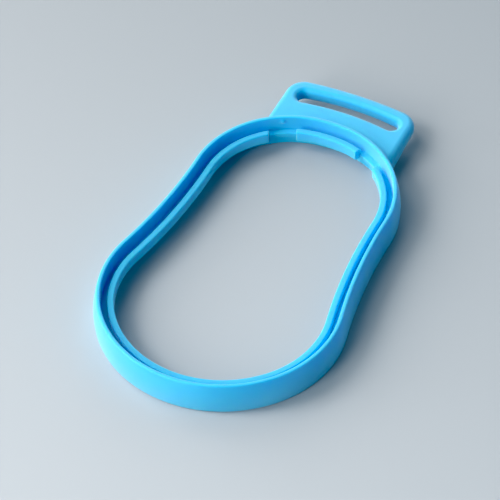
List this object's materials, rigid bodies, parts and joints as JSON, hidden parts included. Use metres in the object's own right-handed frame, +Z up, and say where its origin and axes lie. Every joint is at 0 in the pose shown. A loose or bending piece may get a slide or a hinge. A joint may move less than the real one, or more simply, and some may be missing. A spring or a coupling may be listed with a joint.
{
  "type": "strap retaining ring",
  "caption": "Peanut-shaped moulded retaining ring with a deep outer wall, an inner lip broken at the narrow end and a slotted strap eyelet.",
  "frame": {"origin": "centre of the bounding box, on the flat face that the ring rests on", "axes": "+Y along the ring's long axis towards the strap eyelet, +Z up from the rest face, +X to the right; the part is symmetric about the YZ plane"},
  "size_m": [0.0614, 0.107, 0.0083],
  "materials": {
    "band_plastic": "soft satin moulded plastic, sky blue",
    "lip_plastic": "soft satin moulded plastic, sky blue"
  },
  "bodies": {
    "root": {"outer_band": "band_plastic", "inner_rim": "lip_plastic", "centre_segment": "lip_plastic"}
  },
  "joints": []
}
